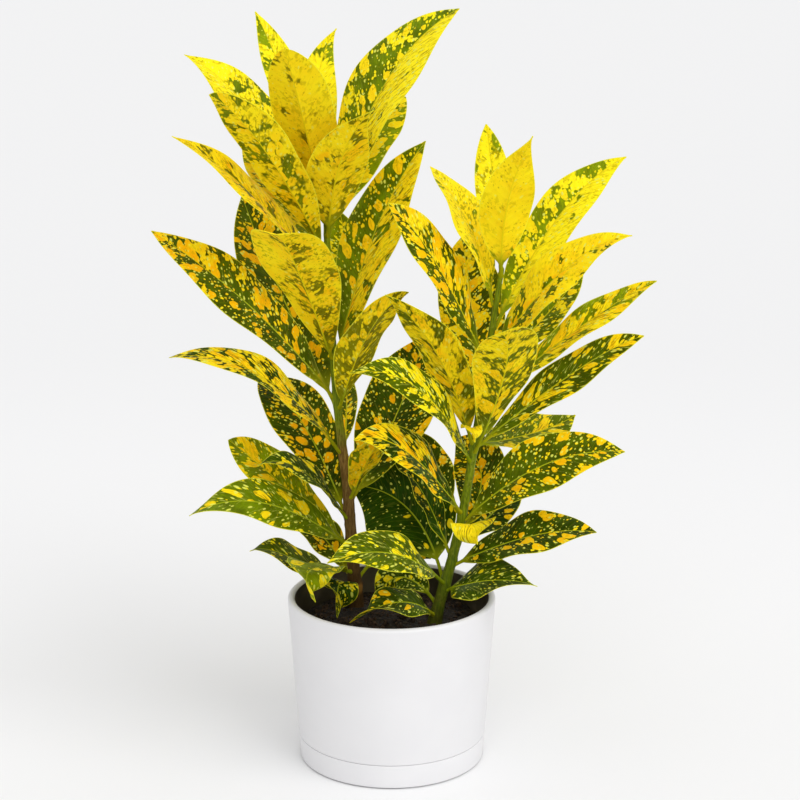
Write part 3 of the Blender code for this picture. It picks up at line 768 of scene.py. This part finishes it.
# How the stems are formed
STEM_RISE = 2.5
STEM_SIDES = 40
NODE_SWELL = 0.16
NODE_REACH = 2.2
SCAR_SEED = 11
SCARS = 34
SCAR_SWELL = 0.10
SCARS_DOWNWARD = 1.6
BARK_HEIGHT = 260
BARK_FADE = 120


def stem_mesh(name, stem):
    """A stem with swollen nodes under its leaves, the scars of old leaves and ridged bark."""
    foot, crown = STEMS[stem][0][0][2], STEMS[stem][-1][0][2]
    count = round((crown - foot) / STEM_RISE)
    heights = np.linspace(foot, crown, count + 1)
    angles = 2 * np.pi * np.arange(STEM_SIDES) / STEM_SIDES
    knots = []
    for leaf in LEAVES:
        if leaf[0] == stem:
            out = np.subtract(leaf[2], stem_at(stem, leaf[1])[0])
            knots.append((leaf[1], math.atan2(out[1], out[0]), NODE_SWELL))
    random = np.random.default_rng(SCAR_SEED + len(stem))
    for _ in range(SCARS):
        height = foot + (crown - foot) * random.random() ** SCARS_DOWNWARD
        knots.append((height, random.uniform(-np.pi, np.pi), SCAR_SWELL))
    points = []
    for height in heights:
        centre, radius = stem_at(stem, height)
        swell = np.ones(STEM_SIDES)
        for knot, angle, size in knots:
            around = 0.55 + 0.45 * np.cos(angles - angle)
            swell += size * around * math.exp(-(((height - knot) / NODE_REACH) ** 2))
        age = np.clip((BARK_HEIGHT - height) / BARK_FADE, 0, 1)
        ridges = np.sin(9 * angles + height / 13) * 0.5 + np.sin(14 * angles - height / 7) * 0.3
        swell += 0.022 * age * ridges + 0.012 * math.sin(height / 1.9) * age
        round_off = math.sqrt(max(0.0, 1 - max(0.0, (height - crown + radius) / radius) ** 2))
        reach = radius * swell * max(round_off, 0.05)
        ring = np.stack([reach * np.cos(angles), reach * np.sin(angles), 0 * angles], axis=1)
        points.extend((centre + ring) * MM)
    faces, face_uvs = [], []
    for i in range(count):
        for k in range(STEM_SIDES):
            j = (k + 1) % STEM_SIDES
            low, high = i * STEM_SIDES, (i + 1) * STEM_SIDES
            faces.append((low + k, low + j, high + j, high + k))
            left, right = k / STEM_SIDES, (k + 1) / STEM_SIDES
            bottom, top = 0.06 + 0.9 * i / count, 0.06 + 0.9 * (i + 1) / count
            face_uvs.extend([(left, bottom), (right, bottom), (right, top), (left, top)])
    for start, level in ((0, 0.03), (count * STEM_SIDES, 0.98)):
        face = list(range(start, start + STEM_SIDES))
        face = face[::-1] if start == 0 else face
        faces.append(face)
        face_uvs.extend((0.1 + 0.015 * math.cos(t), level + 0.015 * math.sin(t)) for t in angles)
    return new_mesh(name, points, faces, face_uvs)


# The stems' colours, from dark to light where there are two, and the place in metres of the
# orange-brown knot low on the tall stem
KNOT_PLACE = (-0.0245, 0.0262, 0.1165)
KNOT = (0.36, 0.175, 0.030)
BARK = ((0.115, 0.062, 0.014), (0.31, 0.185, 0.052))
BARK_BLOT = (0.15, 0.125, 0.030)
BARK_AT_SOIL = (0.045, 0.020, 0.006)
SKIN = ((0.075, 0.115, 0.003), (0.22, 0.28, 0.006))
SKIN_BLOT = (0.34, 0.33, 0.03)
SKIN_AT_SOIL = (0.040, 0.066, 0.003)
BARK_TOPS = ((TALL, 0.235), (SHORT, 0.105))
BARK_EDGE = 0.03
RAGGED = 0.08


def stem_material(name, bark_top):
    """Brown ridged bark low down that turns into smooth green skin higher up."""
    material, tree, shader = new_material(name)
    place = object_place(tree)
    x, y, z = parts(tree, place)
    height = times_plus(tree, noise(tree, place, 60.0, 3.0), RAGGED, z)
    middle = bark_top + RAGGED / 2
    bark = smooth(tree, height, middle - BARK_EDGE, middle + BARK_EDGE, 1.0, 0.0)
    stretched = vector(tree, x, y, times(tree, z, 0.16))
    fibres = noise(tree, stretched, 900.0, 4.0, 0.65)
    blots = noise(tree, place, 160.0, 3.0, 0.6)
    brown = mixed(tree, smooth(tree, fibres, 0.30, 0.72), *BARK)
    brown = mixed(tree, smooth(tree, blots, 0.55, 0.75, 0.0, 0.6), brown, BARK_BLOT)
    brown = mixed(tree, smooth(tree, z, 0.115, 0.215, 0.80, 0.0), brown, BARK_AT_SOIL)
    apart = node(tree, "ShaderNodeVectorMath", {0: place, 1: KNOT_PLACE}, operation="DISTANCE")
    ragged = times_plus(tree, blots, 0.004, apart.outputs[1])
    brown = mixed(tree, smooth(tree, ragged, 0.0045, 0.0075, 0.9, 0.0), brown, KNOT)
    green = mixed(tree, smooth(tree, fibres, 0.3, 0.7), *SKIN)
    green = mixed(tree, smooth(tree, blots, 0.58, 0.70, 0.0, 0.6), green, SKIN_BLOT)
    green = mixed(tree, smooth(tree, z, 0.10, 0.20, 0.70, 0.0), green, SKIN_AT_SOIL)
    put(tree, shader.inputs["Base Color"], mixed(tree, bark, green, brown))
    put(tree, shader.inputs["Roughness"], smooth(tree, bark, 0.0, 1.0, 0.45, 0.8))
    shader.inputs["Specular IOR Level"].default_value = 0.1
    relief(tree, shader, 0.6, 0.4, fibres)
    return material


def make_stems():
    for stem, bark_top in BARK_TOPS:
        name = f"woody_{stem}_stem"
        add(name, stem_mesh(name, stem), stem_material(name, bark_top), "stem_bark", f"{stem}_stem")


# The soil: its surface and the profile of the pot's cavity that it fills
SOIL_LEVEL = 100.0
SOIL_RADIUS = 68.1
SOIL_PROFILE = ((66.6, 60.0), (64.2, 25.0), (62.0, 17.0), (54.0, 9.5), (0.5, 8.8))
SOIL_RINGS = 64
SOIL_SIDES = 180
SOIL_SEED = 5
CRUMBS = 520
CRUMB_SIZE = 0.8
CRUMB_GROWTH = 2.3
PEAT = ((0.006, 0.004, 0.003), (0.034, 0.020, 0.009), (0.060, 0.032, 0.014))
CRUMB = ((0.012, 0.007, 0.004), (0.085, 0.043, 0.018), (0.150, 0.080, 0.034))


def soil_height(x, y):
    """Lumps of several sizes on the soil's surface."""
    height = 1.6 * math.sin(x / 9 + 1.2) * math.cos(y / 8)
    height += 1.0 * math.sin(x / 4.1 - y / 5.3) * math.sin(y / 3.7 + 2)
    height += 0.5 * math.sin(x / 1.9 + y / 2.3) * math.cos(x / 2.6 - y / 1.7)
    return height + 1.2 * math.cos(min(1.0, math.hypot(x, y) / SOIL_RADIUS) * math.pi)


def soil_mesh(name):
    """The soil's lumpy top, and the sides and floor that fill the pot."""
    points, faces = [(0, 0, (SOIL_LEVEL + soil_height(0, 0)) * MM)], []
    rings = [(SOIL_RADIUS * (i + 1) / SOIL_RINGS, None) for i in range(SOIL_RINGS)]
    rings += list(SOIL_PROFILE)
    for radius, level in rings:
        for k in range(SOIL_SIDES):
            t = 2 * math.pi * k / SOIL_SIDES
            x, y = radius * math.cos(t), radius * math.sin(t)
            z = SOIL_LEVEL + soil_height(x, y) if level is None else level
            points.append((x * MM, y * MM, z * MM))
    for k in range(SOIL_SIDES):
        j = (k + 1) % SOIL_SIDES
        faces.append((0, 1 + k, 1 + j))
        for i in range(len(rings) - 1):
            low, high = 1 + i * SOIL_SIDES, 1 + (i + 1) * SOIL_SIDES
            faces.append((low + k, high + k, high + j, low + j))
    last = 1 + (len(rings) - 1) * SOIL_SIDES
    faces.append(list(range(last + SOIL_SIDES - 1, last - 1, -1)))
    return new_mesh(name, points, faces)


def crumb_mesh(name):
    """Loose crumbs and bits of bark that lie half sunk in the soil."""
    random = np.random.default_rng(SOIL_SEED)
    golden = (1 + math.sqrt(5)) / 2
    corners = []
    for a, b in ((1, golden), (1, -golden), (-1, golden), (-1, -golden)):
        corners += [(0, a, b), (a, b, 0), (b, 0, a)]
    corners = np.array(corners, float) / math.hypot(1, golden)
    sides = []
    for i in range(12):
        for j in range(i + 1, 12):
            for k in range(j + 1, 12):
                trio = corners[[i, j, k]]
                edges = np.linalg.norm(trio - np.roll(trio, 1, axis=0), axis=1)
                if max(edges) < 1.2:
                    normal = np.cross(trio[1] - trio[0], trio[2] - trio[0])
                    sides.append((i, j, k) if normal.dot(trio[0]) > 0 else (i, k, j))
    points, faces = [], []
    for _ in range(CRUMBS):
        radius = (SOIL_RADIUS - 3) * math.sqrt(random.random())
        t = random.uniform(0, 2 * math.pi)
        x, y = radius * math.cos(t), radius * math.sin(t)
        size = CRUMB_SIZE + CRUMB_GROWTH * random.random() ** 2.5
        shape = corners * (size * random.uniform(0.7, 1.3, (12, 1))) * random.uniform(0.5, 1.3, 3)
        turn = random.uniform(0, 2 * math.pi)
        c, s = math.cos(turn), math.sin(turn)
        spin = np.array([[c, -s, 0], [s, c, 0], [0, 0, 1]])
        base = len(points)
        place = np.array([x, y, SOIL_LEVEL + soil_height(x, y) + 0.2 * size])
        points.extend((shape @ spin.T + place) * MM)
        faces.extend(tuple(base + i for i in side) for side in sides)
    mesh = bpy.data.meshes.new(name)
    mesh.from_pydata(points, [], faces)
    return mesh


def soil_material(name, dark, light, glint):
    """Grainy soil, dark in its pores, with lighter lumps."""
    material, tree, shader = new_material(name)
    place = object_place(tree)
    grains = noise(tree, place, 420.0, 5.0, 0.7)
    lumps = noise(tree, place, 90.0, 3.0, 0.6)
    colour = mixed(tree, smooth(tree, grains, 0.35, 0.7), dark, light)
    colour = mixed(tree, smooth(tree, lumps, 0.55, 0.75, 0.0, 0.6), colour, glint)
    put(tree, shader.inputs["Base Color"], colour)
    put(tree, shader.inputs["Roughness"], smooth(tree, grains, 0.3, 0.7, 0.95, 0.75))
    relief(tree, shader, 0.9, 0.8, grains)
    return material


def make_soil():
    peat = soil_material("dark_peat", *PEAT)
    add("lumpy_soil", soil_mesh("lumpy_soil"), peat, "dark_soil", "soil")
    crumbs = soil_material("bark_crumbs", *CRUMB)
    add("soil_crumbs", crumb_mesh("soil_crumbs"), crumbs, "dark_soil")


# The white pot and its saucer
POT_HEIGHT = 121.8
RIM_RADIUS = 75.0
FOOT_RADIUS = 67.0
WALL = 5.1
SEAM_HEIGHT = 18.0
SAUCER_FLOOR = 3.0
SAUCER_WALL = 2.2
POT_FLOOR = 5.0
CORNER = 1.2
INNER_CORNER = 9.0
EDGE_ROUND = 0.45
FOOT_RECESS = 1.0
GAP = 0.3
TURN_STEPS = 160
TURNED_SHARP = 35
DARK_INSIDE_TOP = 120.0
GLAZE = ((0.705, 0.700, 0.712), (0.722, 0.717, 0.727))
GLAZE_SPECK = (0.66, 0.65, 0.64)
DARK_INSIDE = ((0.045, 0.036, 0.020), (0.120, 0.100, 0.062))
# painted contact shade on the saucer's foot ring, standing for the shadow where it meets the floor
PAINTED_FOOT_SHADE = (0.075, 0.070, 0.068)


def arc(centre, radius, first, last, count):
    """Points of a round corner in a profile, from one angle to another in degrees."""
    angles = [math.radians(first + (last - first) * i / (count - 1)) for i in range(count)]
    return [(centre[0] + radius * math.cos(a), centre[1] + radius * math.sin(a)) for a in angles]


def outer_radius(height):
    """The pot and saucer share one straight, slightly flared outside."""
    return FOOT_RADIUS + (RIM_RADIUS - FOOT_RADIUS) * height / POT_HEIGHT


def turned_mesh(name, profile):
    """A turned form with softly rounded corners: its profile starts and ends on the axis."""
    points, faces = [(0, 0, profile[0][1] * MM), (0, 0, profile[-1][1] * MM)], []
    rings = profile[1:-1]
    for radius, level in rings:
        for k in range(TURN_STEPS):
            t = 2 * math.pi * k / TURN_STEPS
            points.append((radius * math.cos(t) * MM, radius * math.sin(t) * MM, level * MM))
    last = 2 + (len(rings) - 1) * TURN_STEPS
    for k in range(TURN_STEPS):
        j = (k + 1) % TURN_STEPS
        faces.append((0, 2 + k, 2 + j))
        faces.append((1, last + j, last + k))
        for i in range(len(rings) - 1):
            low, high = 2 + i * TURN_STEPS, 2 + (i + 1) * TURN_STEPS
            faces.append((low + k, high + k, high + j, low + j))
    return new_mesh(name, points, faces, sharp=TURNED_SHARP)


def saucer_profile():
    """The saucer, from its inner floor over its lip to the narrower ring that it stands on."""
    inside, outside = outer_radius(SEAM_HEIGHT) - SAUCER_WALL, outer_radius(SEAM_HEIGHT)
    lip = EDGE_ROUND
    profile = [(0, SAUCER_FLOOR)]
    profile += arc((inside - CORNER, SAUCER_FLOOR + CORNER), CORNER, -90, 0, 6)
    profile += arc((inside + lip, SEAM_HEIGHT - lip), lip, 180, 90, 5)
    profile += arc((outside - lip, SEAM_HEIGHT - lip), lip, 90, 0, 5)
    rim = outer_radius(FOOT_RECESS)
    profile += arc((rim - lip, FOOT_RECESS + lip), lip, 0, -90, 5)
    ring = rim - 3 * FOOT_RECESS
    return profile + [(ring, FOOT_RECESS), (ring, 0), (0, 0)]


def pot_profile():
    """The pot, from its inner floor over its rim to the foot that sits in the saucer."""
    foot = SAUCER_FLOOR + GAP
    floor = foot + POT_FLOOR
    recess = outer_radius(SEAM_HEIGHT) - SAUCER_WALL - GAP
    seam = SEAM_HEIGHT + GAP
    lip, edge = WALL / 2, EDGE_ROUND
    bottom = outer_radius(floor + INNER_CORNER) - WALL
    profile = [(0, floor)]
    profile += arc((bottom - INNER_CORNER, floor + INNER_CORNER), INNER_CORNER, -90, 0, 8)
    profile += arc((RIM_RADIUS - lip, POT_HEIGHT - lip), lip, 180, 0, 17)
    profile += arc((outer_radius(seam) - edge, seam + edge), edge, 0, -90, 5)
    profile += [(recess, seam)]
    profile += arc((recess - 2 * CORNER, foot + 2 * CORNER), 2 * CORNER, 0, -90, 6)
    return profile + [(0, foot)]


def glaze_material(name):
    """White satin glaze with a faint mottle, a dark brown-grey inside wall, and painted shade on
    the saucer's foot ring.
    """
    material, tree, shader = new_material(name)
    place = object_place(tree)
    x, y, z = parts(tree, place)
    radius = from_axis(tree, x, y)
    mottle = noise(tree, place, 26.0, 4.0, 0.55)
    speck = noise(tree, place, 700.0)
    colour = mixed(tree, smooth(tree, mottle, 0.3, 0.7), *GLAZE)
    colour = mixed(tree, smooth(tree, speck, 0.70, 0.80, 0.0, 0.25), colour, GLAZE_SPECK)
    lean = times_plus(tree, z, -(RIM_RADIUS - FOOT_RADIUS) / POT_HEIGHT, radius)
    wall = (FOOT_RADIUS - WALL) * MM
    inside = smooth(tree, lean, wall + 0.25 * MM, wall + 0.7 * MM, 1.0, 0.0)
    above_floor = smooth(tree, z, 0.008, 0.009)
    below_rim = smooth(tree, z, (DARK_INSIDE_TOP - 0.4) * MM, (DARK_INSIDE_TOP + 0.4) * MM, 1.0, 0.0)
    # a dark brown-grey on the inside wall, from the pot's floor to just below the rim
    dark_inside_mask = times(tree, times(tree, inside, above_floor), below_rim)
    dark_inside_colour = mixed(tree, smooth(tree, mottle, 0.35, 0.65), *DARK_INSIDE)
    # painted shade: a dark band on the foot ring below the recess, for the contact shadow under the
    # saucer
    painted_foot_shade = smooth(tree, z, (FOOT_RECESS - 0.15) * MM, (FOOT_RECESS + 0.05) * MM, 1.0, 0.0)
    colour = mixed(tree, painted_foot_shade, colour, PAINTED_FOOT_SHADE)
    put(tree, shader.inputs["Base Color"], mixed(tree, dark_inside_mask, colour, dark_inside_colour))
    put(tree, shader.inputs["Roughness"], smooth(tree, mottle, 0.3, 0.7, 0.34, 0.42))
    shader.inputs["Specular IOR Level"].default_value = 0.4
    relief(tree, shader, 0.12, 0.4, noise(tree, place, 110.0))
    return material


def make_pot():
    glaze = glaze_material("satin_glaze")
    for cad_node, profile in (("pot", pot_profile()), ("saucer", saucer_profile())):
        name = f"glazed_{cad_node}"
        add(name, turned_mesh(name, profile), glaze, "white_ceramic", cad_node)


# The studio, in metres: where the painted light on the floor near the pot fades, each sun's name,
# strength, spread, tilt and turn in degrees, and a camera with the focal length in pixels that the
# photo gave
FLOOR_SIDE = 400.0
FLOOR_PAINTED_LIGHT_FADE = (0.15, 1.6)
FLOOR_AND_PAINTED_LIGHT_COLOURS = ((0.80, 0.80, 0.805), (0.86, 0.86, 0.865))
SUNS = (("soft_key", 0.96, 44, 48, 50), ("front_fill", 0.7, 60, 60, 6))
SKY_STRENGTH = 0.80
SENSOR = 36.0
FOCAL_PIXELS = 1914.0
PHOTO_PIXELS = 800.0
CAMERA_PLACE = (0.006, -1.311, 0.5855)
CAMERA_DIP = 13.7
SIGHT = 2000.0


def make_floor():
    """A wide pale floor with painted light: its colour is a little brighter near the pot."""
    side = FLOOR_SIDE
    mesh = bpy.data.meshes.new("studio_floor")
    corners = [(-side, -side, 0), (side, -side, 0), (side, side, 0), (-side, side, 0)]
    mesh.from_pydata(corners, [], [(0, 1, 2, 3)])
    material, tree, shader = new_material("pale_floor")
    x, y, _ = parts(tree, object_place(tree))
    # painted light: the floor's colour brightens towards the pot and fades out further away
    near = smooth(tree, from_axis(tree, x, y), *FLOOR_PAINTED_LIGHT_FADE, 1.0, 0.0)
    put(tree, shader.inputs["Base Color"], mixed(tree, near, *FLOOR_AND_PAINTED_LIGHT_COLOURS))
    shader.inputs["Roughness"].default_value = 1.0
    shader.inputs["Specular IOR Level"].default_value = 0.0
    mesh.materials.append(material)
    floor = bpy.data.objects.new("studio_floor", mesh)
    bpy.context.scene.collection.objects.link(floor)


def make_light():
    world = bpy.data.worlds.new("studio")
    world.use_nodes = True
    sky = world.node_tree.nodes["Background"]
    sky.inputs["Color"].default_value = (1.0, 1.0, 1.0, 1.0)
    sky.inputs["Strength"].default_value = SKY_STRENGTH
    bpy.context.scene.world = world
    for name, energy, spread, tilt, turn in SUNS:
        lamp = bpy.data.lights.new(name, "SUN")
        lamp.energy = energy
        lamp.angle = math.radians(spread)
        light = bpy.data.objects.new(name, lamp)
        light.rotation_euler = (math.radians(tilt), 0, math.radians(turn))
        bpy.context.scene.collection.objects.link(light)
    view = bpy.context.scene.view_settings
    view.view_transform = "Standard"
    view.look = "None"


def make_camera():
    lens = bpy.data.cameras.new("view")
    lens.sensor_width = SENSOR
    lens.lens = SENSOR * FOCAL_PIXELS / PHOTO_PIXELS
    camera = bpy.data.objects.new("view", lens)
    camera.location = CAMERA_PLACE
    camera.rotation_euler = (math.radians(90 - CAMERA_DIP), 0, 0)
    lens.clip_end = SIGHT
    bpy.context.scene.collection.objects.link(camera)
    bpy.context.scene.camera = camera


make_leaves()
make_stems()
make_soil()
make_pot()
make_floor()
make_light()
make_camera()
